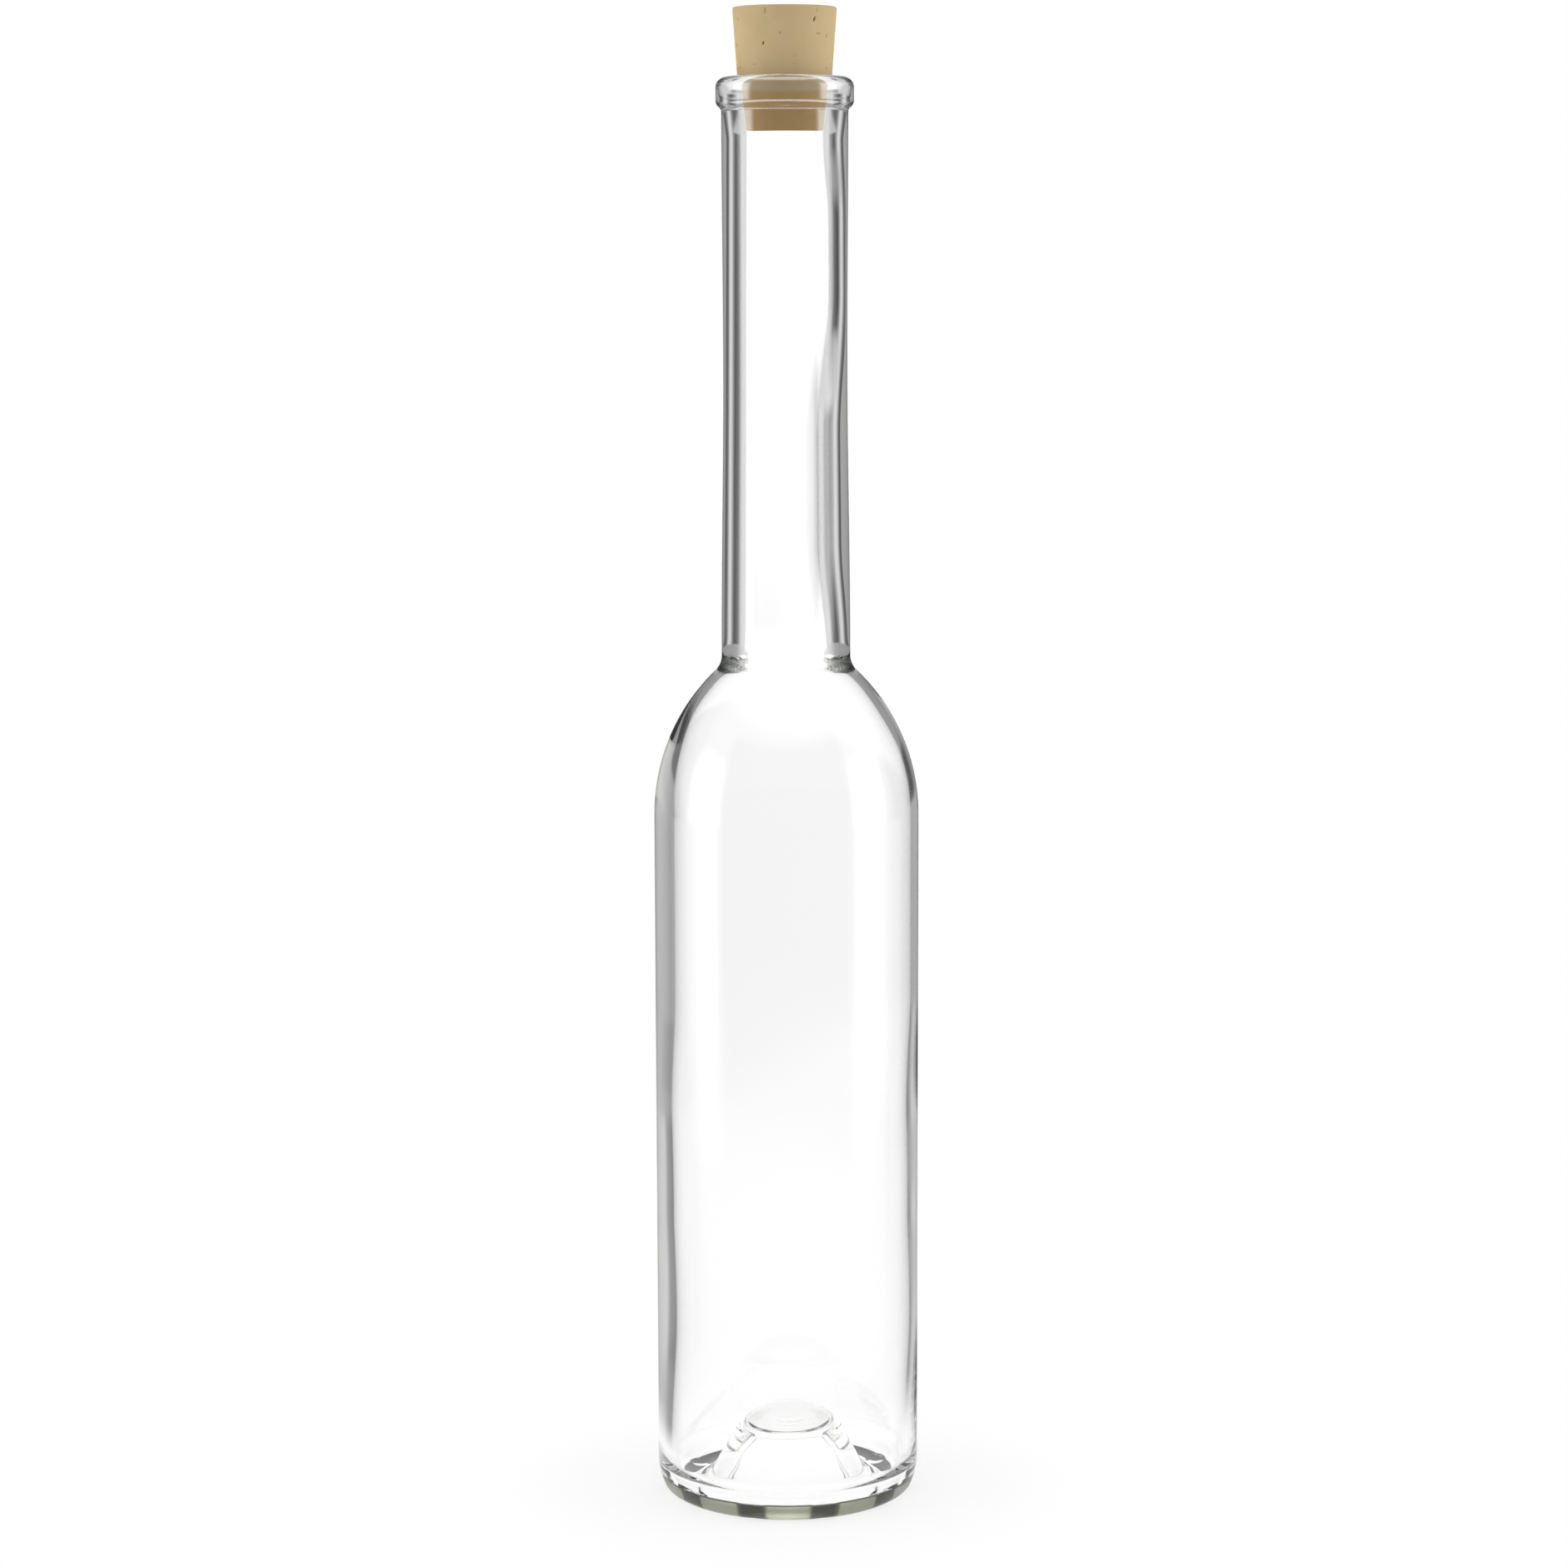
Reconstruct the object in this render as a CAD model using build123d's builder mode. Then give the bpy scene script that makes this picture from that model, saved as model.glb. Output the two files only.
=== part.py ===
from build123d import *
import os
from math import acos, atan2, degrees, dist, sqrt

os.makedirs("parts", exist_ok=True)

# A clear glass long-neck bottle and its tapered natural cork, in millimetres.
# The origin is the middle of the base, on the surface that the bottle stands on.

# Body, from the ring that it stands on up to the shoulder
body_radius = 28.5
wall = 2.9
heel_radius = 14.3
heel_draw_in = 0.9
base_corner_radius = 2.5
bearing_width = 2.1
shoulder_height = 149.4
shoulder_radius = 43.0

# Neck, thick-walled, a little narrower in its middle than at its ends
bore_radius = 8.8
neck_foot_wall = 5.0
neck_waist_wall = 4.4
neck_waist_share = 0.54
neck_foot_fillet = 4.6
inner_foot_radius = 9.0
inner_shoulder_rise = 1.2

# Mouth, which narrows from the rim to a throat and then to the top of the bore
rim_height = 305.8
mouth_radius = 10.0
mouth_edge_round = 0.6
throat_depth = 5.2
throat_step = 1.15
bore_top_depth = 12.8
bore_top_step = 0.75

# Lip round the mouth
rim_flat = 1.7
lip_top_round = 2.3
lip_straight_length = 2.6
lip_low_round = 2.0
lip_proud = 1.2
lip_fillet = 1.0

# Trough round the bottom of the cavity, and the punt that rises in its middle
trough_height = 2.6
inner_heel_radius = 6.1
punt_height = 19.2
punt_flare_radius = 3.5
punt_flank_run = 2.0

# Hollow under the punt, flat-topped, with a rounded edge and a long flare down to the ring.
# The wall is the glass between its edge and the dome
underside_wall = 1.4
underside_flat_step = 6.0
underside_edge_radius = 2.0
underside_flare_radius = 12.5

# Shallow radial grooves across the ring that the bottle stands on, which leave broad lands
groove_count = 11
groove_radius = 9.1
groove_depth = 0.35

# Tapered cork, squeezed to the mouth where it sits in the neck
cork_length = 25.8
cork_depth = 11.5
cork_flare = 0.95
cork_edge = 0.4
cork_clearance = 0.08


def side_of(slant, run):
    """Third side of a right triangle with this slant side and base."""
    return sqrt(slant**2 - run**2)


def heading(start, end):
    """Direction from one point of the section to another, in degrees."""
    return degrees(atan2(end[1] - start[1], end[0] - start[0]))


def bend(center, radius, first_angle, last_angle):
    """Arc of the section about a centre, between two angles in degrees."""
    return CenterArc(center, radius, first_angle, last_angle - first_angle)


# Radii that follow from the driving sizes
bearing_outer_radius = body_radius - heel_draw_in - base_corner_radius
bearing_inner_radius = bearing_outer_radius - bearing_width
body_inner_radius = body_radius - wall
inner_shoulder_radius = shoulder_radius - wall
neck_foot_radius = bore_radius + neck_foot_wall
neck_waist_radius = bore_radius + neck_waist_wall
lip_radius = mouth_radius + mouth_edge_round + rim_flat + lip_top_round
neck_top_radius = lip_radius - lip_proud
throat_radius = mouth_radius - throat_step
bore_top_radius = throat_radius - bore_top_step
trough_radius = body_inner_radius - inner_heel_radius
punt_dome_radius = trough_radius - punt_flare_radius - punt_flank_run

# Centres of the outside's arcs, each touching the next one
base_corner = (bearing_outer_radius, base_corner_radius)
heel_run = heel_radius - heel_draw_in - base_corner_radius
heel_height = base_corner_radius + side_of(heel_radius - base_corner_radius, heel_run)
heel = (body_radius - heel_radius, heel_height)
shoulder = (body_radius - shoulder_radius, shoulder_height)
foot_run = neck_foot_radius + neck_foot_fillet - shoulder[0]
foot_height = shoulder_height + side_of(shoulder_radius + neck_foot_fillet, foot_run)
foot = (neck_foot_radius + neck_foot_fillet, foot_height)
lip_top = (lip_radius - lip_top_round, rim_height - lip_top_round)
lip_low = (lip_radius - lip_low_round, lip_top[1] - lip_straight_length)
lip_run = neck_top_radius + lip_fillet - lip_low[0]
lip_foot_height = lip_low[1] - side_of(lip_low_round + lip_fillet, lip_run)
lip_foot = (neck_top_radius + lip_fillet, lip_foot_height)
neck_waist_height = foot_height + neck_waist_share * (lip_foot_height - foot_height)

# Centres of the cavity's arcs, whose shoulder starts a little higher than the outside's
inner_shoulder = (shoulder[0], shoulder_height + inner_shoulder_rise)
inner_foot_run = bore_radius + inner_foot_radius - inner_shoulder[0]
inner_foot_rise = side_of(inner_shoulder_radius + inner_foot_radius, inner_foot_run)
inner_foot = (bore_radius + inner_foot_radius, inner_shoulder[1] + inner_foot_rise)
inner_heel = (trough_radius, trough_height + inner_heel_radius)
punt_flare = (trough_radius, trough_height + punt_flare_radius)
punt_dome = (0, punt_height - punt_dome_radius)
flank_share = (punt_dome_radius + punt_flare_radius) / dist(punt_dome, punt_flare)
flank_angle = heading(punt_dome, punt_flare) + degrees(acos(flank_share))

# The underside's edge and flare share a slanted flank, and the flare ends level at the ring
underside_flat_radius = punt_dome_radius - underside_flat_step
underside_edge_reach = punt_dome_radius - underside_wall - underside_edge_radius
underside_edge_height = punt_dome[1] + side_of(underside_edge_reach, underside_flat_radius)
underside_edge = (underside_flat_radius, underside_edge_height)
underside_height = underside_edge_height + underside_edge_radius
underside_flare = (bearing_inner_radius, underside_flare_radius)
underside_share = (underside_edge_radius + underside_flare_radius) / dist(underside_edge, underside_flare)
underside_angle = heading(underside_edge, underside_flare) + degrees(acos(underside_share))

with BuildPart() as glass_bottle:
    with BuildSketch(Plane.XZ):
        with BuildLine():
            # Underside and base ring
            Line((0, underside_height), (underside_flat_radius, underside_height))
            under_edge = bend(underside_edge, underside_edge_radius, 90, underside_angle)
            under_flare = bend(underside_flare, underside_flare_radius, underside_angle + 180, 270)
            Line(under_edge @ 1, under_flare @ 0)
            Line((bearing_inner_radius, 0), (bearing_outer_radius, 0))
            heel_angle = heading(heel, base_corner)
            bend(base_corner, base_corner_radius, -90, heel_angle)
            bend(heel, heel_radius, heel_angle, 0)
            # Body, shoulder and neck
            Line((body_radius, heel_height), (body_radius, shoulder_height))
            shoulder_angle = heading(shoulder, foot)
            bend(shoulder, shoulder_radius, 0, shoulder_angle)
            bend(foot, neck_foot_fillet, shoulder_angle + 180, 180)
            neck_foot = (neck_foot_radius, foot_height)
            neck_waist = (neck_waist_radius, neck_waist_height)
            neck_top = (neck_top_radius, lip_foot_height)
            Spline(neck_foot, neck_waist, neck_top, tangents=((0, 1), (0, 1)))
            # Lip and rim
            lip_angle = heading(lip_foot, lip_low)
            bend(lip_foot, lip_fillet, 180, lip_angle)
            bend(lip_low, lip_low_round, lip_angle - 180, 0)
            Line((lip_radius, lip_low[1]), (lip_radius, lip_top[1]))
            bend(lip_top, lip_top_round, 0, 90)
            Line((lip_top[0], rim_height), (mouth_radius + mouth_edge_round, rim_height))
            # Mouth and bore
            mouth_edge = (mouth_radius + mouth_edge_round, rim_height - mouth_edge_round)
            bend(mouth_edge, mouth_edge_round, 90, 180)
            mouth = (mouth_radius, mouth_edge[1])
            throat = (throat_radius, rim_height - throat_depth)
            bore_top = (bore_top_radius, rim_height - bore_top_depth)
            Polyline(mouth, throat, bore_top, (bore_radius, inner_foot[1]))
            # Inner shoulder and wall
            inner_angle = heading(inner_shoulder, inner_foot)
            bend(inner_foot, inner_foot_radius, 180, inner_angle + 180)
            bend(inner_shoulder, inner_shoulder_radius, inner_angle, 0)
            Line((body_inner_radius, inner_shoulder[1]), (body_inner_radius, inner_heel[1]))
            # Trough and punt
            bend(inner_heel, inner_heel_radius, 0, -90)
            flare = bend(punt_flare, punt_flare_radius, -90, flank_angle - 180)
            dome = bend(punt_dome, punt_dome_radius, flank_angle, 90)
            Line(flare @ 1, dome @ 0)
            Line((0, punt_height), (0, underside_height))
        make_face()
    revolve(axis=Axis.Z)
    # The grooves run out where the ring's two flanks rise past their depth, and a land faces -Y
    groove_reach = side_of(underside_flare_radius, underside_flare_radius - groove_depth)
    groove_start = bearing_inner_radius - groove_reach
    groove_length = body_radius - groove_start
    groove_middle = (body_radius + groove_start) / 2
    first_groove = 180 / groove_count - 90
    with Locations((0, 0, groove_depth - groove_radius)):
        with PolarLocations(groove_middle, groove_count, start_angle=first_groove):
            Cylinder(groove_radius, groove_length, rotation=(0, 90, 0), mode=Mode.SUBTRACT)
glass_bottle.part.label = "glass_bottle"
export_step(glass_bottle.part, "parts/glass_bottle.step")

# The cork follows the mouth a clearance inside it, and tapers freely above the rim
cork_bottom_height = rim_height - cork_depth
cork_top_height = cork_bottom_height + cork_length
cork_top_radius = mouth_radius + cork_flare
depth_share = (cork_depth - throat_depth) / (bore_top_depth - throat_depth)
cork_bottom_radius = throat_radius + depth_share * (bore_top_radius - throat_radius) - cork_clearance

with BuildPart() as cork_stopper:
    with BuildSketch(Plane.XZ):
        with BuildLine():
            Polyline(
                (0, cork_bottom_height),
                (cork_bottom_radius - cork_edge, cork_bottom_height),
                (cork_bottom_radius, cork_bottom_height + cork_edge),
                (throat_radius - cork_clearance, rim_height - throat_depth),
                (mouth_radius - cork_clearance, rim_height - mouth_edge_round),
                (cork_top_radius, cork_top_height - cork_edge),
                (cork_top_radius - cork_edge, cork_top_height),
                (0, cork_top_height),
                close=True,
            )
        make_face()
    revolve(axis=Axis.Z)
cork_stopper.part.label = "cork_stopper"
export_step(cork_stopper.part, "parts/cork_stopper.step")
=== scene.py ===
"""A clear glass long-neck bottle with a tapered natural cork, on a pale floor in soft light."""
import math
import random

import bmesh
import bpy
from mathutils import Matrix, Vector, noise
from mathutils.kdtree import KDTree


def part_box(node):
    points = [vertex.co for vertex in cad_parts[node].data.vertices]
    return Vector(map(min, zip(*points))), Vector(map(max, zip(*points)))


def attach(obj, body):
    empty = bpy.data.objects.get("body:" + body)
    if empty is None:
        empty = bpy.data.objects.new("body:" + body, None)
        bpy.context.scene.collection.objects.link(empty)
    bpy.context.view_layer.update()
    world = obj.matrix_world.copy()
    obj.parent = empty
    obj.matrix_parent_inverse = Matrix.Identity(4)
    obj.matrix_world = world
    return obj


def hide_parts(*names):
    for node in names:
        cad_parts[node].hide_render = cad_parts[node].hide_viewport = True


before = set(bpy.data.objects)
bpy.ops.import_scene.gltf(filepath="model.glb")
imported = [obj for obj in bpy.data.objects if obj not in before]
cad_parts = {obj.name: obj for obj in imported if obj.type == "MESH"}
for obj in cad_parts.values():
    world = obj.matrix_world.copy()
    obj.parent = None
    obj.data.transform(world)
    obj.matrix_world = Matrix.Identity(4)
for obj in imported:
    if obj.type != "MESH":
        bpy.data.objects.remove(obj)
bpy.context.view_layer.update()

mm = 0.001

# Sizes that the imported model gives
glass_low, glass_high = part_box("glass_bottle")
cork_low, cork_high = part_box("cork_stopper")
body_radius = glass_high.x
rim_height = glass_high.z
cork_top_radius = cork_high.x
cork_bottom_height = cork_low.z
cork_top_height = cork_high.z

# Body, from the ring that it stands on up to the shoulder
wall = 2.9 * mm
heel_radius = 14.3 * mm
heel_draw_in = 0.9 * mm
base_corner_radius = 2.5 * mm
bearing_width = 2.1 * mm
shoulder_height = 149.4 * mm
shoulder_radius = 43.0 * mm

# Neck
bore_radius = 8.8 * mm
neck_foot_wall = 5.0 * mm
neck_waist_wall = 4.4 * mm
neck_waist_share = 0.54
neck_foot_fillet = 4.6 * mm
inner_foot_radius = 9.0 * mm
inner_shoulder_rise = 1.2 * mm

# Mouth and lip
mouth_radius = 10.0 * mm
mouth_edge_round = 0.6 * mm
throat_depth = 5.2 * mm
throat_step = 1.15 * mm
bore_top_depth = 12.8 * mm
bore_top_step = 0.75 * mm
rim_flat = 1.7 * mm
lip_top_round = 2.3 * mm
lip_straight_length = 2.6 * mm
lip_low_round = 2.0 * mm
lip_proud = 1.2 * mm
lip_fillet = 1.0 * mm

# Trough and punt
trough_height = 2.6 * mm
inner_heel_radius = 6.1 * mm
punt_height = 19.2 * mm
punt_flare_radius = 3.5 * mm
punt_flank_run = 2.0 * mm

# Hollow under the punt
underside_wall = 1.4 * mm
underside_flat_step = 6.0 * mm
underside_edge_radius = 2.0 * mm
underside_flare_radius = 12.5 * mm

# Grooves across the base ring, and the knurl's look up the corner above them, which is frost with painted
# shade.
# It goes from groove to land between two bearings from a groove's middle, in degrees
groove_count = 11
groove_radius = 9.1 * mm
groove_depth = 0.35 * mm
painted_knurl_height = 3.9 * mm
painted_knurl_fade = 0.4 * mm
painted_knurl_corner_width = 0.3 * mm
knurl_roughness = 0.35
land_bearings = (5.2, 7.2)

# Cork
cork_edge = 0.4 * mm
cork_clearance = 0.08 * mm


def side_of(slant, run):
    """Third side of a right triangle with this slant side and base."""
    return math.sqrt(slant**2 - run**2)


def heading(start, end):
    """Direction from one point of the section to another, in degrees."""
    return math.degrees(math.atan2(end[1] - start[1], end[0] - start[0]))


def on_circle(center, radius, angle):
    """Point of a circle of the section at an angle in degrees."""
    turn = math.radians(angle)
    return center[0] + radius * math.cos(turn), center[1] + radius * math.sin(turn)


def eased(value, start, end):
    """Rises smoothly from 0 at start to 1 at end."""
    share = min(max((value - start) / (end - start), 0.0), 1.0)
    return share * share * (3 - 2 * share)


def along(value, stops):
    """Follows stops of (place, amount), from the highest place down, with smooth turns."""
    amount = stops[0][1]
    for (high, before), (low, after) in zip(stops, stops[1:]):
        amount += (after - before) * eased(value, high, low)
    return amount


# Radii that follow from the sizes above
bearing_outer_radius = body_radius - heel_draw_in - base_corner_radius
bearing_inner_radius = bearing_outer_radius - bearing_width
body_inner_radius = body_radius - wall
inner_shoulder_radius = shoulder_radius - wall
neck_foot_radius = bore_radius + neck_foot_wall
neck_waist_radius = bore_radius + neck_waist_wall
lip_radius = mouth_radius + mouth_edge_round + rim_flat + lip_top_round
neck_top_radius = lip_radius - lip_proud
throat_radius = mouth_radius - throat_step
bore_top_radius = throat_radius - bore_top_step
trough_radius = body_inner_radius - inner_heel_radius
punt_dome_radius = trough_radius - punt_flare_radius - punt_flank_run

# Centres of the section's arcs, as (radius, height)
base_corner = (bearing_outer_radius, base_corner_radius)
heel_run = heel_radius - heel_draw_in - base_corner_radius
heel_height = base_corner_radius + side_of(heel_radius - base_corner_radius, heel_run)
heel = (body_radius - heel_radius, heel_height)
shoulder = (body_radius - shoulder_radius, shoulder_height)
foot_run = neck_foot_radius + neck_foot_fillet - shoulder[0]
foot_height = shoulder_height + side_of(shoulder_radius + neck_foot_fillet, foot_run)
foot = (neck_foot_radius + neck_foot_fillet, foot_height)
lip_top = (lip_radius - lip_top_round, rim_height - lip_top_round)
lip_low = (lip_radius - lip_low_round, lip_top[1] - lip_straight_length)
lip_run = neck_top_radius + lip_fillet - lip_low[0]
lip_foot_height = lip_low[1] - side_of(lip_low_round + lip_fillet, lip_run)
lip_foot = (neck_top_radius + lip_fillet, lip_foot_height)
neck_waist_height = foot_height + neck_waist_share * (lip_foot_height - foot_height)
mouth_edge = (mouth_radius + mouth_edge_round, rim_height - mouth_edge_round)
inner_shoulder = (shoulder[0], shoulder_height + inner_shoulder_rise)
inner_foot_run = bore_radius + inner_foot_radius - inner_shoulder[0]
inner_foot_rise = side_of(inner_shoulder_radius + inner_foot_radius, inner_foot_run)
inner_foot = (bore_radius + inner_foot_radius, inner_shoulder[1] + inner_foot_rise)
inner_heel = (trough_radius, trough_height + inner_heel_radius)
punt_flare = (trough_radius, trough_height + punt_flare_radius)
punt_dome = (0, punt_height - punt_dome_radius)
flank_share = (punt_dome_radius + punt_flare_radius) / math.dist(punt_dome, punt_flare)
flank_angle = heading(punt_dome, punt_flare) + math.degrees(math.acos(flank_share))
underside_flat_radius = punt_dome_radius - underside_flat_step
underside_edge_reach = punt_dome_radius - underside_wall - underside_edge_radius
underside_edge_height = punt_dome[1] + side_of(underside_edge_reach, underside_flat_radius)
underside_edge = (underside_flat_radius, underside_edge_height)
underside_height = underside_edge_height + underside_edge_radius
underside_flare = (bearing_inner_radius, underside_flare_radius)
underside_slant = math.dist(underside_edge, underside_flare)
underside_share = (underside_edge_radius + underside_flare_radius) / underside_slant
underside_angle = heading(underside_edge, underside_flare) + math.degrees(math.acos(underside_share))


def run_to(bm, tip, radius, height, steps=1):
    """Carries a section on from its tip in straight steps, and gives its new tip."""
    step = (Vector((radius, 0, height)) - tip.co) / steps
    for _ in range(steps):
        tip = bmesh.ops.extrude_vert_indiv(bm, verts=[tip])["verts"][0]
        bmesh.ops.translate(bm, verts=[tip], vec=step)
    return tip


def bend(bm, tip, center, first_angle, last_angle, steps):
    """Carries a section on from its tip along an arc, and gives its new tip."""
    turned = bmesh.ops.spin(
        bm,
        geom=[tip],
        cent=(center[0], 0, center[1]),
        axis=(0, 1, 0),
        angle=math.radians(first_angle - last_angle),
        steps=steps,
    )
    return next(part for part in turned["geom_last"] if isinstance(part, bmesh.types.BMVert))


def turn_section(bm, segments):
    """Turns a section about the bottle's axis into a closed skin that faces outwards."""
    bmesh.ops.spin(
        bm,
        geom=bm.verts[:] + bm.edges[:],
        cent=(0, 0, 0),
        axis=(0, 0, 1),
        angle=2 * math.pi,
        steps=segments,
        use_merge=True,
    )
    bmesh.ops.remove_doubles(bm, verts=bm.verts[:], dist=0.001 * mm)
    bmesh.ops.recalc_face_normals(bm, faces=bm.faces[:])


def finished_piece(bm, name, body, node, material):
    """Makes a smooth piece of a mesh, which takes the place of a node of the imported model."""
    mesh = bpy.data.meshes.new(name)
    bm.to_mesh(mesh)
    bm.free()
    mesh.shade_smooth()
    mesh.materials.append(material)
    piece = bpy.data.objects.new(name, mesh)
    bpy.context.scene.collection.objects.link(piece)
    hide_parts(node)
    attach(piece, body)
    return piece


def srgb(code):
    """Turns an sRGB hex colour into linear red, green, blue and alpha."""
    shares = [int(code[at : at + 2], 16) / 255 for at in (1, 3, 5)]
    return [c / 12.92 if c <= 0.04045 else ((c + 0.055) / 1.055) ** 2.4 for c in shares] + [1]


def add_node(tree, kind, inputs=None, **settings):
    """Adds a node with its settings. Inputs are values, or outputs of other nodes to link."""
    node = tree.nodes.new(kind)
    for name, value in settings.items():
        setattr(node, name, value)
    for name, value in (inputs or {}).items():
        if isinstance(value, bpy.types.NodeSocket):
            tree.links.new(value, node.inputs[name])
        else:
            node.inputs[name].default_value = value
    return node


def set_stops(ramp, stops):
    """Gives a colour ramp these stops of (place, linear colour), from its start to its end."""
    elements = ramp.color_ramp.elements
    while len(elements) < len(stops):
        elements.new(0.5)
    for element, (place, color) in zip(elements, stops):
        element.position = place
        element.color = color


def laid_over(tree, level, *layers):
    """Lays further numbers over a first one in turn, each by its own share from 0 to 1."""
    for share, further in layers:
        mixed = {"Factor": share, 2: level, 3: further}
        level = add_node(tree, "ShaderNodeMix", mixed, data_type="FLOAT").outputs[0]
    return level


def product(tree, level, *shares):
    """Multiplies a number by others, such as shares that have to hold at once."""
    for share in shares:
        level = add_node(tree, "ShaderNodeMath", {0: level, 1: share}, operation="MULTIPLY").outputs[0]
    return level


def more_than(tree, count, few):
    """Gives 1 for a ray that has counted more than a few of something, and 0 for any other."""
    over = add_node(tree, "ShaderNodeMath", {0: count, 1: few + 0.5}, operation="GREATER_THAN")
    return over.outputs[0]


def bare_material(name):
    """Makes an empty material, and gives it with its node tree."""
    material = bpy.data.materials.new(name)
    material.use_nodes = True
    material.node_tree.nodes.clear()
    return material, material.node_tree


# Flint glass, blown into a mould and fire-polished: the surface is smooth as a liquid's, and
# only where light runs a long way inside it, as in the base, does its faint green show
def make_glass_material():
    material, tree = bare_material("flint_glass_fire_polished")
    knurl_frost_and_painted_shade = add_node(tree, "ShaderNodeAttribute", attribute_name="knurl_frost_and_painted_shade").outputs["Fac"]
    # The knurl's frost and painted shade show from outside alone, so that they don't cloud the base seen
    # from within
    inside_hit = add_node(tree, "ShaderNodeNewGeometry").outputs["Backfacing"]
    knurl_frost_and_painted_shade = laid_over(tree, knurl_frost_and_painted_shade, (inside_hit, 0.0))
    # Painted shade: near black along the band's edges, dark olive in the grooves, and a pale green tint
    # with frost on the lands
    painted_shade_and_tint = add_node(tree, "ShaderNodeValToRGB", {"Fac": knurl_frost_and_painted_shade})
    stops = ((0.0, "#FFFFFF"), (0.25, "#0A0B07"), (0.5, "#1F2115"), (0.8, "#585B42"), (1.0, "#D2D6AC"))
    set_stops(painted_shade_and_tint, [(place, srgb(code)) for place, code in stops])
    surface = add_node(
        tree,
        "ShaderNodeBsdfPrincipled",
        {
            "Base Color": painted_shade_and_tint.outputs["Color"],
            "Roughness": laid_over(tree, 0.0, (knurl_frost_and_painted_shade, knurl_roughness)),
            "IOR": 1.52,
            "Transmission Weight": 1.0,
        },
    )
    inside = add_node(
        tree, "ShaderNodeVolumeAbsorption", {"Color": srgb("#E6EAE0"), "Density": 5.0}
    )
    add_node(
        tree,
        "ShaderNodeOutputMaterial",
        {"Surface": surface.outputs["BSDF"], "Volume": inside.outputs["Volume"]},
    )
    return material


# The glass is uneven, as blown glass is: the cavity stands off the axis by these amounts in mm
# at these heights in mm, to the right in the body and on the bore's right side in the neck
body_drift = ((186, 0), (146, 0.95), (110, 0.95), (84, 0.35), (64, 0.5), (38, 0.85), (4, 0))
bore_swell = ((293, 0), (276, 0.55), (262, 0.55), (230, -1.1), (208, -1.1), (184, 0))
# The drift holds outside the punt alone, and the swell in the bore alone
drift_radii = (18 * mm, 24 * mm)
swell_radii = (16 * mm, 12 * mm)


def draw_glass_section(bm, cavity):
    """Draws the half section of the glass, from the underside's middle round to the punt's top."""
    tip = bmesh.ops.create_vert(bm, co=(0, 0, underside_height))["vert"][0]
    tip = run_to(bm, tip, underside_flat_radius, underside_height, 8)
    tip = bend(bm, tip, underside_edge, 90, underside_angle, 8)
    flare_start = on_circle(underside_flare, underside_flare_radius, underside_angle + 180)
    tip = run_to(bm, tip, *flare_start, 3)
    tip = bend(bm, tip, underside_flare, underside_angle + 180, 270, 24)
    tip = run_to(bm, tip, bearing_outer_radius, 0, 3)
    turn = heading(heel, base_corner)
    tip = bend(bm, tip, base_corner, -90, turn, 7)
    tip = bend(bm, tip, heel, turn, 0, 20)
    tip = run_to(bm, tip, body_radius, shoulder_height, 3)
    turn = heading(shoulder, foot)
    tip = bend(bm, tip, shoulder, 0, turn, 26)
    tip = bend(bm, tip, foot, turn + 180, 180, 8)
    neck_steps = 24
    for step in range(1, neck_steps + 1):
        height = foot_height + (lip_foot_height - foot_height) * step / neck_steps
        radius = neck_foot_radius
        radius += (neck_waist_radius - neck_foot_radius) * eased(height, foot_height, neck_waist_height)
        radius += (neck_top_radius - neck_waist_radius) * eased(height, neck_waist_height, lip_foot_height)
        tip = run_to(bm, tip, radius, height)
    turn = heading(lip_foot, lip_low)
    tip = bend(bm, tip, lip_foot, 180, turn, 5)
    tip = bend(bm, tip, lip_low, turn - 180, 0, 7)
    tip = run_to(bm, tip, lip_radius, lip_top[1])
    tip = bend(bm, tip, lip_top, 0, 90, 9)
    tip = run_to(bm, tip, mouth_edge[0], rim_height, 2)
    tip[cavity] = 1
    tip = bend(bm, tip, mouth_edge, 90, 180, 5)
    tip = run_to(bm, tip, throat_radius, rim_height - throat_depth, 4)
    tip = run_to(bm, tip, bore_top_radius, rim_height - bore_top_depth, 6)
    tip = run_to(bm, tip, bore_radius, inner_foot[1], 44)
    turn = heading(inner_shoulder, inner_foot)
    tip = bend(bm, tip, inner_foot, 180, turn + 180, 12)
    tip = bend(bm, tip, inner_shoulder, turn, 0, 22)
    tip = run_to(bm, tip, body_inner_radius, inner_heel[1], 60)
    tip = bend(bm, tip, inner_heel, 0, -90, 10)
    tip = bend(bm, tip, punt_flare, -90, flank_angle - 180, 9)
    tip = run_to(bm, tip, *on_circle(punt_dome, punt_dome_radius, flank_angle), 2)
    bend(bm, tip, punt_dome, flank_angle, 90, 14)


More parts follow.
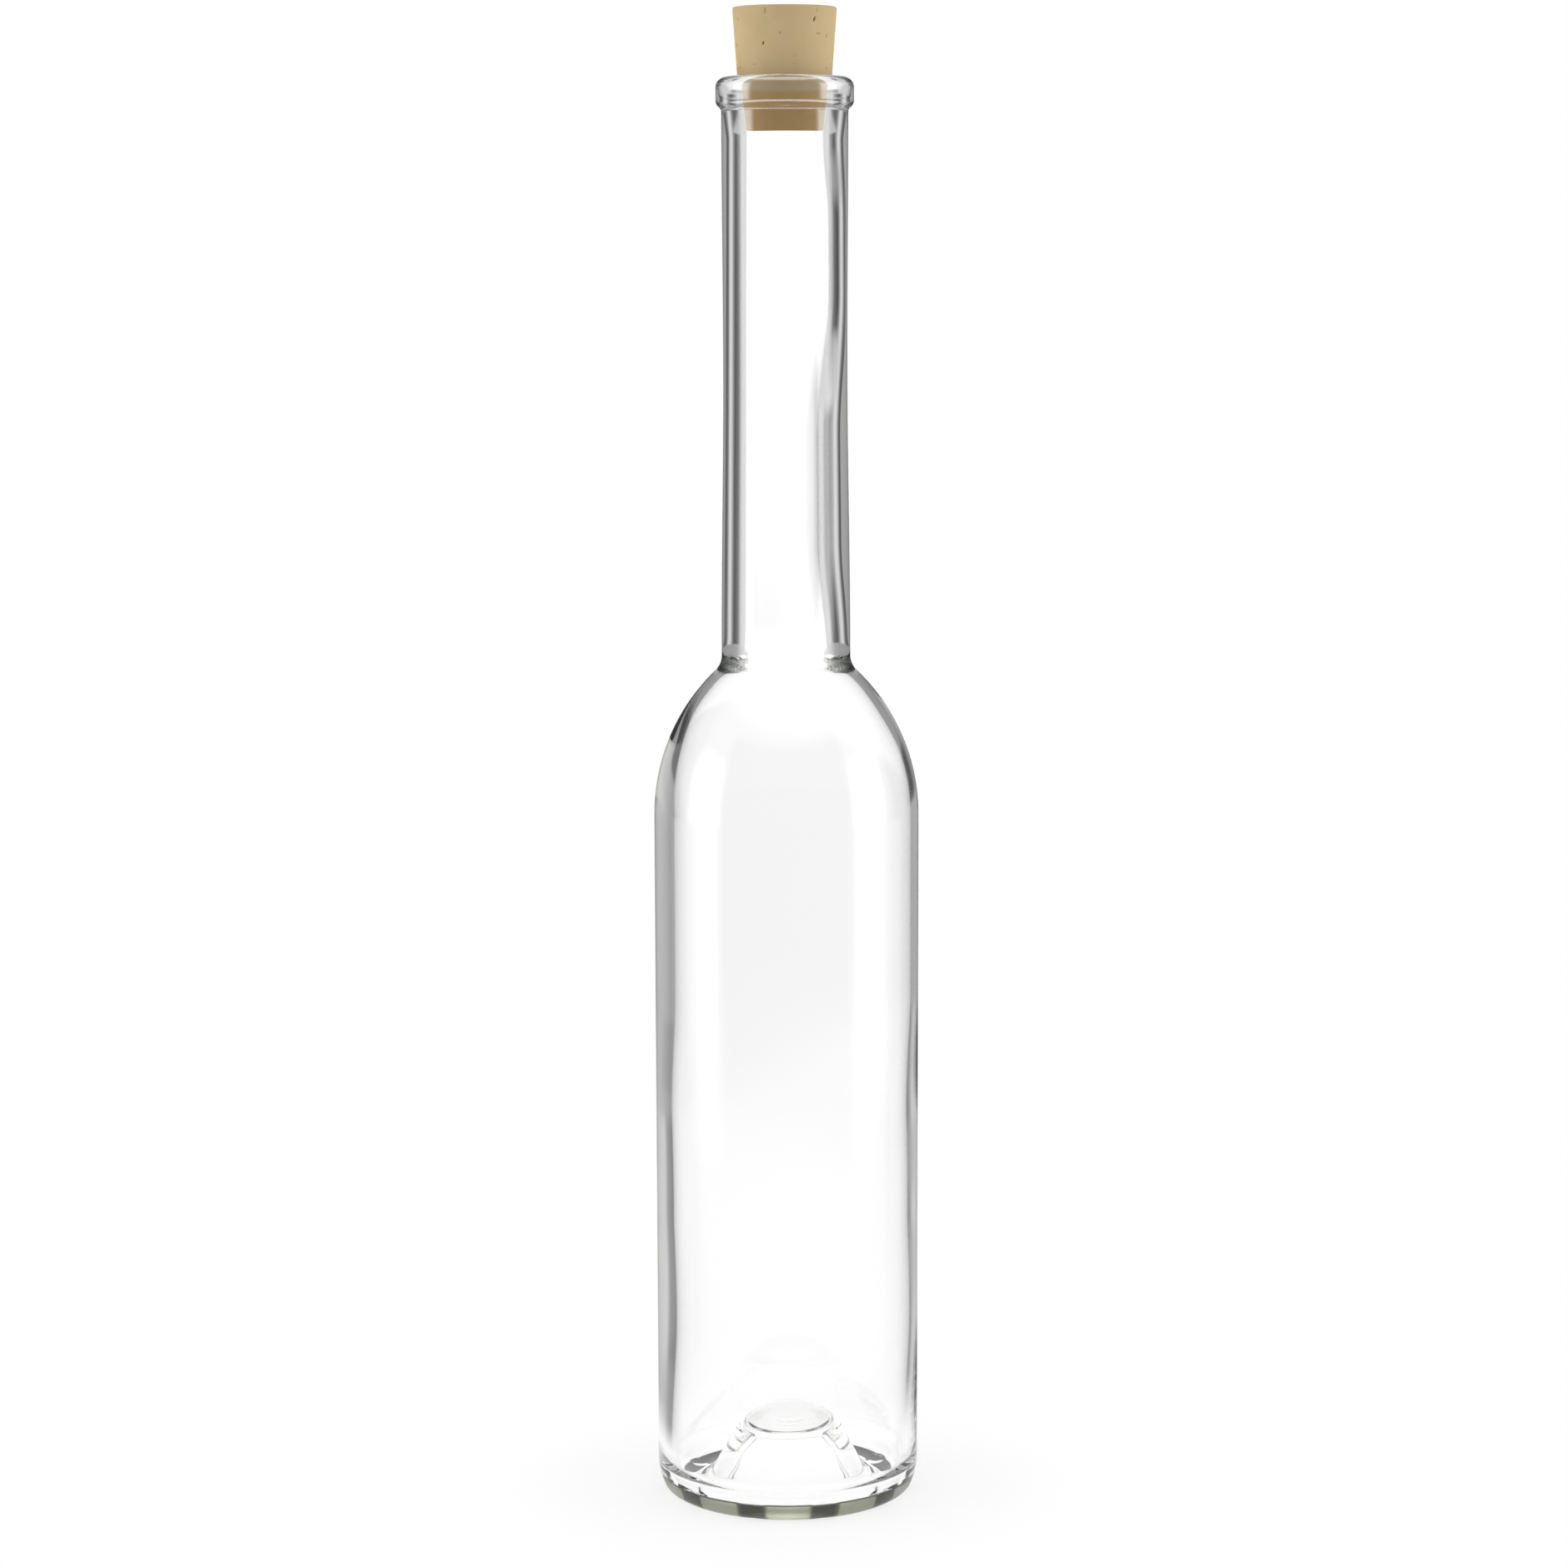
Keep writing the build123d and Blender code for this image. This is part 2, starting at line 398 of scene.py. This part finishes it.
def settle_cavity(bm, cavity, knurl_frost_and_painted_shade):
    """Moves the cavity off the axis as body_drift and bore_swell say, and cuts the base grooves.

    The knurl's frost and painted shade go up the corner of the base: half strength over the grooves,
    full over the lands, and none above its edge. Half strength paints the grooves dark, and the fade
    to none paints a dark line along the edge.
    """
    groove_turn = 2 * math.pi / groove_count
    for vert in bm.verts:
        radius = math.hypot(vert.co.x, vert.co.y)
        height = vert.co.z / mm
        if vert[cavity] and radius > 0:
            drift = along(height, body_drift) * eased(radius, *drift_radii)
            right_side = ((1 + vert.co.x / radius) / 2) ** 2
            swell = along(height, bore_swell) * right_side * eased(radius, *swell_radii)
            vert.co.x += (drift + swell) * mm
        elif radius > 0:
            turn = math.atan2(vert.co.y, vert.co.x) + math.pi / 2 - groove_turn / 2
            turn = math.remainder(turn, groove_turn)
            offset = radius * math.sin(turn)
            land = 0.5 + 0.5 * eased(abs(math.degrees(turn)), *land_bearings)
            corner = eased(radius, bearing_outer_radius - painted_knurl_corner_width, bearing_outer_radius)
            edge = eased(vert.co.z, painted_knurl_height + painted_knurl_fade, painted_knurl_height - painted_knurl_fade)
            # Painted shade and frost share for the knurl band
            vert[knurl_frost_and_painted_shade] = land * corner * edge
            if abs(offset) < groove_radius:
                roof = groove_depth - groove_radius + side_of(groove_radius, offset)
                if vert.co.z < roof:
                    vert.co.z = roof


def make_glass(material):
    bm = bmesh.new()
    bm.verts.layers.float.new("knurl_frost_and_painted_shade")
    cavity = bm.verts.layers.int.new("cavity")
    draw_glass_section(bm, cavity)
    turn_section(bm, 256)
    settle_cavity(bm, cavity, bm.verts.layers.float["knurl_frost_and_painted_shade"])
    bmesh.ops.recalc_face_normals(bm, faces=bm.faces[:])
    return finished_piece(bm, "bottle_glass", "bottle", "glass_bottle", material)


# Natural cork, ground to a taper: matt and warm tan, with a fine bark grain, and small dark
# lenticels and pits where the bark's pores were cut
def make_cork_material():
    material, tree = bare_material("natural_cork_ground")
    place = add_node(tree, "ShaderNodeTexCoord").outputs["Object"]
    grain_size = 0.7 * mm
    grain = add_node(
        tree,
        "ShaderNodeTexNoise",
        {"Vector": place, "Scale": 1 / grain_size, "Detail": 3.0, "Roughness": 0.6},
    )
    tone = add_node(
        tree, "ShaderNodeTexNoise", {"Vector": place, "Scale": 1 / (7 * mm), "Detail": 2.0}
    )
    tan = add_node(
        tree,
        "ShaderNodeMix",
        {"Factor": tone.outputs["Fac"], 6: srgb("#C2AD84"), 7: srgb("#B3996D")},
        data_type="RGBA",
    )
    height = add_node(tree, "ShaderNodeSeparateXYZ", {"Vector": place}).outputs["Z"]
    # The cork turns browner from 3 to 4.2 mm under the rim, and stays so further down
    below_rim_share = add_node(
        tree,
        "ShaderNodeMapRange",
        {
            "Value": height,
            "From Min": rim_height - 4.2 * mm,
            "From Max": rim_height - 3.0 * mm,
            "To Min": 1.0,
            "To Max": 0.0,
        },
    )
    below_rim_tone = add_node(
        tree,
        "ShaderNodeMix",
        {"Factor": below_rim_share.outputs[0], 6: tan.outputs[2], 7: srgb("#BD9A65")},
        data_type="RGBA",
    )
    pit = add_node(tree, "ShaderNodeAttribute", attribute_name="pit")
    skin = add_node(
        tree,
        "ShaderNodeMix",
        {"Factor": pit.outputs["Fac"], 6: below_rim_tone.outputs[2], 7: srgb("#4A3520")},
        data_type="RGBA",
    )
    bump = add_node(
        tree,
        "ShaderNodeBump",
        {"Height": grain.outputs["Fac"], "Strength": 0.25, "Distance": 0.05 * mm},
    )
    surface = add_node(
        tree,
        "ShaderNodeBsdfPrincipled",
        {"Base Color": skin.outputs[2], "Roughness": 0.8, "Normal": bump.outputs["Normal"]},
    )
    add_node(tree, "ShaderNodeOutputMaterial", {"Surface": surface.outputs["BSDF"]})
    return material


# The pores that show on the cork's front, as their bearing from the front in degrees, drop below
# the top, half length, half width and depth in mm, lean from upright in degrees, and darkness
front_pores = (
    (35, 2.9, 0.65, 0.24, 0.45, 18, 1.0),
    (-25.5, 7.8, 0.5, 0.22, 0.4, 15, 0.9),
    (-21.5, 1.3, 0.9, 0.3, 0.15, 8, 0.25),
    (-5.5, 5.9, 0.4, 0.3, 0.15, 50, 0.3),
    (41, 5.9, 0.8, 0.17, 0.2, 90, 0.5),
    (38, 1.2, 0.6, 0.35, 0.1, 0, 0.25),
    (12, 10.6, 0.5, 0.2, 0.1, 80, 0.2),
    (-38, 12.2, 0.7, 0.2, 0.1, 85, 0.2),
)
back_pore_count = 70
top_pore_count = 22


def press_pore(bm, tree, pit, near, lengthwise, sizes, darkness):
    """Presses one pore into the cork where it lies nearest to a place, and darkens it."""
    half_length, half_width, depth = [size * mm for size in sizes]
    center, index, _ = tree.find(near)
    inward = -bm.verts[index].normal
    lengthwise = (lengthwise - lengthwise.project(inward)).normalized()
    widthwise = inward.cross(lengthwise)
    for place, index, _ in tree.find_range(center, half_length * 1.4):
        offset = place - center
        reach = math.hypot(offset.dot(lengthwise) / half_length, offset.dot(widthwise) / half_width)
        reach *= 1 + 0.35 * noise.noise(place / (0.35 * mm))
        share = 1 - eased(reach, 0.35, 1.0)
        vert = bm.verts[index]
        vert.co += inward * depth * share
        vert[pit] = max(vert[pit], darkness * share)


def press_pores(bm, pit):
    """Presses the pores of the front, and others at random round the rest and on the top."""
    chance = random.Random(4)
    pores = list(front_pores)
    for _ in range(back_pore_count):
        size = chance.uniform(0.25, 0.8)
        pores.append(
            (
                chance.uniform(52, 308),
                chance.uniform(0.8, 24.5),
                size,
                size * chance.uniform(0.25, 0.45),
                size * chance.uniform(0.3, 0.6),
                chance.choice((12, 85)) + chance.gauss(0, 9),
                chance.uniform(0.35, 1.0),
            )
        )
    tree = KDTree(len(bm.verts))
    for vert in bm.verts:
        tree.insert(vert.co, vert.index)
    tree.balance()
    for bearing, drop, half_length, half_width, depth, lean, darkness in pores:
        turn = math.radians(bearing)
        slant = math.radians(lean)
        outward = Vector((math.sin(turn), -math.cos(turn), 0))
        aside = Vector((math.cos(turn), math.sin(turn), 0))
        near = outward * cork_top_radius + Vector((0, 0, cork_top_height - drop * mm))
        lengthwise = Vector((0, 0, math.cos(slant))) + aside * math.sin(slant)
        press_pore(bm, tree, pit, near, lengthwise, (half_length, half_width, depth), darkness)
    for _ in range(top_pore_count):
        turn = chance.uniform(0, 2 * math.pi)
        reach = 9.6 * mm * math.sqrt(chance.random())
        near = Vector((reach * math.cos(turn), reach * math.sin(turn), cork_top_height))
        lean = chance.gauss(0.3, 0.15)
        size = chance.uniform(0.3, 1.1)
        sizes = (size, size * chance.uniform(0.15, 0.3), chance.uniform(0.15, 0.4))
        lengthwise = Vector((math.cos(lean), math.sin(lean), 0))
        press_pore(bm, tree, pit, near, lengthwise, sizes, chance.uniform(0.4, 1.0))


def make_cork(material):
    """The cork follows the mouth a clearance inside it, and tapers freely above the rim."""
    bm = bmesh.new()
    pit = bm.verts.layers.float.new("pit")
    depth = rim_height - cork_bottom_height
    depth_share = (depth - throat_depth) / (bore_top_depth - throat_depth)
    bottom_radius = throat_radius + depth_share * (bore_top_radius - throat_radius) - cork_clearance
    tip = bmesh.ops.create_vert(bm, co=(0, 0, cork_bottom_height))["vert"][0]
    tip = run_to(bm, tip, bottom_radius - cork_edge, cork_bottom_height, 8)
    tip = bend(bm, tip, (bottom_radius - cork_edge, cork_bottom_height + cork_edge), -90, 0, 4)
    tip = run_to(bm, tip, throat_radius - cork_clearance, rim_height - throat_depth, 30)
    tip = run_to(bm, tip, mouth_radius - cork_clearance, rim_height - mouth_edge_round, 22)
    tip = run_to(bm, tip, cork_top_radius, cork_top_height - cork_edge, 80)
    tip = bend(bm, tip, (cork_top_radius - cork_edge, cork_top_height - cork_edge), 0, 90, 4)
    run_to(bm, tip, 0, cork_top_height, 34)
    turn_section(bm, 400)
    bm.verts.ensure_lookup_table()
    bm.verts.index_update()
    bm.normal_update()
    press_pores(bm, pit)
    return finished_piece(bm, "cork", "cork", "cork_stopper", material)


# The room as levels at bearings in degrees away from the back of the scene, to either side. The
# glass mirrors dark flags beside the backdrop, and a bright screen at each side. Its inside wall
# turns back the dark bands along its edges, and the room is bright where it shows right through.
# High levels hold down to about 6 degrees below level, low ones go on to about 12, and the floor's
# hold from there
screens = ((96, 7.0), (116, 7.0), (128, 1.1), (180, 1.1))
screen_feet = ((66, 0.75), (80, 1.0), (96, 3.0), (116, 3.0), (128, 1.1), (180, 1.1))
sides = ((70, 0.9), (80, 1.0), (180, 1.0))
high_mirrored_room = ((0, 1.0), (6, 1.0), (12, 0.1), (70, 0.1), (82, 1.0)) + screens
low_mirrored_room = ((0, 1.0), (6, 1.0), (12, 0.1), (58, 0.1)) + screen_feet
outer_mirrored_room = ((0, 1.0), (6, 1.0), (14, 0.33), (56, 0.33), (72, 1.05), (180, 1.05))
high_through_room = ((0, 1.18), (18, 1.15), (34, 0.95), (50, 0.6), (60, 0.5)) + sides
low_through_room = ((0, 1.0), (18, 0.97), (28, 0.8), (50, 0.45), (58, 0.5)) + sides
floor_through_room = ((0, 1.05), (16, 1.03), (24, 0.95), (36, 0.85), (46, 0.8), (58, 0.5)) + sides
high_turned_room = ((0, 0.8), (8, 0.65), (16, 0.3), (26, 0.07), (44, 0.1), (54, 0.42), (180, 0.42))
low_turned_room = ((0, 0.7), (18, 0.58), (32, 0.46), (42, 0.36), (180, 0.36))
floor_turned_room = ((0, 0.72), (28, 0.68), (36, 0.28), (46, 0.2), (58, 0.3), (180, 0.3))
lit_room = ((0, 1.0), (40, 0.7), (60, 0.75), (80, 1.85), (112, 1.85), (125, 0.7), (180, 0.7))
room_peak = 7.0

# Levels that are the same all round the room, and the gain of the light on the cork
lip_ceiling_level = 6.0
ceiling_level = 1.15
upper_through_level = 0.3
upper_turned_level = 0.36
under_turned_level = 0.9
lip_strip_level = 7.0
under_mirrored_level = 0.2
base_level = 0.95
shaded_base_level = 0.6
cork_gain = 1.08


def ring_of_levels(tree, turn, stops):
    """Makes a ring round the scene, of these levels at these bearings from its back.

    The ramp holds shares of the room's peak, because its colours only go up to 1.
    """
    ramp = add_node(tree, "ShaderNodeValToRGB", {"Fac": turn})
    set_stops(ramp, [(bearing / 180, [level / room_peak] * 3 + [1]) for bearing, level in stops])
    scaled = add_node(
        tree, "ShaderNodeMath", {0: ramp.outputs["Color"], 1: room_peak}, operation="MULTIPLY"
    )
    return scaled.outputs[0]


def above(tree, climb, start, end):
    """Rises from 0 to 1 between two elevations in degrees, or falls if the first is the higher."""
    low, high = sorted((start, end))
    step = add_node(
        tree,
        "ShaderNodeMapRange",
        {
            "Value": climb,
            "From Min": math.sin(math.radians(low)),
            "From Max": math.sin(math.radians(high)),
            "To Min": float(start > end),
            "To Max": float(start < end),
        },
        interpolation_type="SMOOTHSTEP",
    )
    return step.outputs[0]


def beyond(tree, turn, start, end):
    """Rises from 0 to 1 between two bearings in degrees away from the back of the scene."""
    step = add_node(
        tree,
        "ShaderNodeMapRange",
        {"Value": turn, "From Min": start / 180, "From Max": end / 180},
        interpolation_type="SMOOTHSTEP",
    )
    return step.outputs[0]


def turn_of(tree, view):
    """Bearing of a direction away from the back of the scene, as a share of half a turn."""
    axes = add_node(tree, "ShaderNodeSeparateXYZ", {"Vector": view}).outputs
    bearing = add_node(tree, "ShaderNodeMath", {0: axes["X"], 1: axes["Y"]}, operation="ARCTAN2")
    apart = add_node(tree, "ShaderNodeMath", {0: bearing.outputs[0]}, operation="ABSOLUTE")
    return product(tree, apart.outputs[0], 1 / math.pi)


def make_room():
    """Lights the scene from all round, and shows the camera plain white."""
    world = bpy.data.worlds.new("studio")
    bpy.context.scene.world = world
    world.use_nodes = True
    tree = world.node_tree
    tree.nodes.clear()
    view = add_node(tree, "ShaderNodeTexCoord").outputs["Generated"]
    turn = turn_of(tree, view)
    climb = add_node(tree, "ShaderNodeSeparateXYZ", {"Vector": view}).outputs["Z"]
    path = add_node(tree, "ShaderNodeLightPath").outputs

    low = above(tree, climb, -5.5, -7.5)
    floor = above(tree, climb, -11.0, -14.0)
    ceiling = above(tree, climb, 38, 50)
    through = laid_over(
        tree,
        ring_of_levels(tree, turn, high_through_room),
        (above(tree, climb, -4.2, -7.0), ring_of_levels(tree, turn, low_through_room)),
        (floor, ring_of_levels(tree, turn, floor_through_room)),
        (product(tree, above(tree, climb, 12, 17), beyond(tree, turn, 20, 32)), upper_through_level),
        (ceiling, ceiling_level),
    )
    turned = laid_over(
        tree,
        ring_of_levels(tree, turn, high_turned_room),
        (low, ring_of_levels(tree, turn, low_turned_room)),
        (floor, ring_of_levels(tree, turn, floor_turned_room)),
        (above(tree, climb, 3, 8), upper_turned_level),
        (ceiling, ceiling_level),
        (above(tree, climb, -20, -26), under_turned_level),
    )

    # A bright strip near the floor and a bright ceiling shine in the round edges of the lip, and
    # the room behind the camera is dark between them
    outer = ring_of_levels(tree, turn, outer_mirrored_room)
    around = beyond(tree, turn, 60, 80)
    strip = product(tree, above(tree, climb, -17, -20), above(tree, climb, -44, -38), around)
    shade = product(
        tree,
        above(tree, climb, 46, 36),
        above(tree, climb, -15.5, -9.8),
        beyond(tree, turn, 112, 126),
    )
    mirrored = laid_over(
        tree,
        ring_of_levels(tree, turn, high_mirrored_room),
        (low, ring_of_levels(tree, turn, low_mirrored_room)),
        (floor, outer),
        (above(tree, climb, 16, 30), outer),
        (strip, lip_strip_level),
        (product(tree, above(tree, climb, 52, 60), around), lip_ceiling_level),
        (above(tree, climb, -38, -46), under_mirrored_level),
        (shade, 0.0),
    )

    # Light that crosses two surfaces was turned back inside a wall, and light that crosses four
    # passed right through the bottle. More than that is the base, which gathers it from all round
    crossings = path["Transmission Depth"]
    seen = laid_over(
        tree,
        turned,
        (more_than(tree, crossings, 3), through),
        (more_than(tree, crossings, 5), laid_over(tree, base_level, (shade, shaded_base_level))),
    )

    # The glass takes a little of the light that reaches the cork through it, and the gain gives
    # that back
    gain = laid_over(tree, 1.0, (path["Is Transmission Ray"], cork_gain))
    lit = product(tree, ring_of_levels(tree, turn, lit_room), gain)
    level = laid_over(
        tree,
        lit,
        (path["Is Glossy Ray"], mirrored),
        (path["Is Transmission Ray"], seen),
        (more_than(tree, path["Diffuse Depth"], 0), lit),
        (path["Is Camera Ray"], 1.0),
    )
    light = add_node(tree, "ShaderNodeBackground", {"Color": srgb("#FFFFFF"), "Strength": level})
    add_node(tree, "ShaderNodeOutputWorld", {"Surface": light.outputs["Background"]})


def make_floor():
    """A white disc under the bottle, with the bottle's faint shadow, which fades out around it."""
    material, tree = bare_material("pale_floor")
    place = add_node(tree, "ShaderNodeTexCoord").outputs["Object"]
    reach = add_node(tree, "ShaderNodeVectorMath", {0: place}, operation="LENGTH").outputs["Value"]
    whitened = add_node(
        tree,
        "ShaderNodeMapRange",
        {"Value": reach, "From Min": 30 * mm, "From Max": 70 * mm, "To Min": 0.8, "To Max": 1.0},
        interpolation_type="SMOOTHSTEP",
    ).outputs[0]
    path = add_node(tree, "ShaderNodeLightPath").outputs
    white = laid_over(
        tree,
        product(tree, path["Is Camera Ray"], whitened),
        (path["Is Glossy Ray"], 1.0),
        (path["Is Transmission Ray"], 1.0),
        (more_than(tree, path["Diffuse Depth"], 0), 0.0),
    )
    # Light that comes through the glass from further out is the room's own
    far = add_node(
        tree,
        "ShaderNodeMapRange",
        {"Value": reach, "From Min": 50 * mm, "From Max": 90 * mm},
        interpolation_type="SMOOTHSTEP",
    ).outputs[0]
    far = product(tree, far, path["Is Glossy Ray"])
    paint = add_node(tree, "ShaderNodeBsdfDiffuse", {"Color": srgb("#F8F8F8")})
    glow = add_node(tree, "ShaderNodeEmission", {"Color": srgb("#FFFFFF"), "Strength": 1.0})
    open_floor = add_node(tree, "ShaderNodeBsdfTransparent")
    near_mix = add_node(
        tree,
        "ShaderNodeMixShader",
        {"Fac": white, 1: paint.outputs["BSDF"], 2: glow.outputs["Emission"]},
    )
    mix = add_node(
        tree,
        "ShaderNodeMixShader",
        {"Fac": far, 1: near_mix.outputs["Shader"], 2: open_floor.outputs["BSDF"]},
    )
    add_node(tree, "ShaderNodeOutputMaterial", {"Surface": mix.outputs["Shader"]})
    bm = bmesh.new()
    bmesh.ops.create_circle(bm, cap_ends=True, radius=280 * mm, segments=96)
    bmesh.ops.translate(bm, verts=bm.verts[:], vec=(0, 0, -0.05 * mm))
    mesh = bpy.data.meshes.new("floor")
    bm.to_mesh(mesh)
    bm.free()
    mesh.materials.append(material)
    floor = bpy.data.objects.new("floor", mesh)
    bpy.context.scene.collection.objects.link(floor)


def make_camera():
    """Stands the camera where the photograph was taken from, 8 degrees above level."""
    photo_side = 1880
    focal_pixels = 4610.5
    distance = 820.2 * mm
    height = 270.7 * mm
    aim_height = 155.8 * mm
    aside = -0.5 * mm
    roll = math.radians(-0.14)
    data = bpy.data.cameras.new("camera")
    data.lens = data.sensor_width * focal_pixels / photo_side
    data.clip_start = 10 * mm
    camera = bpy.data.objects.new("camera", data)
    bpy.context.scene.collection.objects.link(camera)
    pitch = math.atan2(height - aim_height, distance)
    tilt = Matrix.Rotation(math.pi / 2 - pitch, 4, "X")
    stand = Matrix.Translation((aside, -distance, height))
    camera.matrix_world = stand @ tilt @ Matrix.Rotation(roll, 4, "Z")
    bpy.context.scene.camera = camera


make_glass(make_glass_material())
make_cork(make_cork_material())
make_room()
make_floor()
make_camera()

# Light passes many surfaces of the thick base before it leaves the glass
cycles = bpy.context.scene.cycles
cycles.max_bounces = 32
cycles.transmission_bounces = 32
cycles.glossy_bounces = 24
bpy.context.scene.view_settings.view_transform = "Standard"
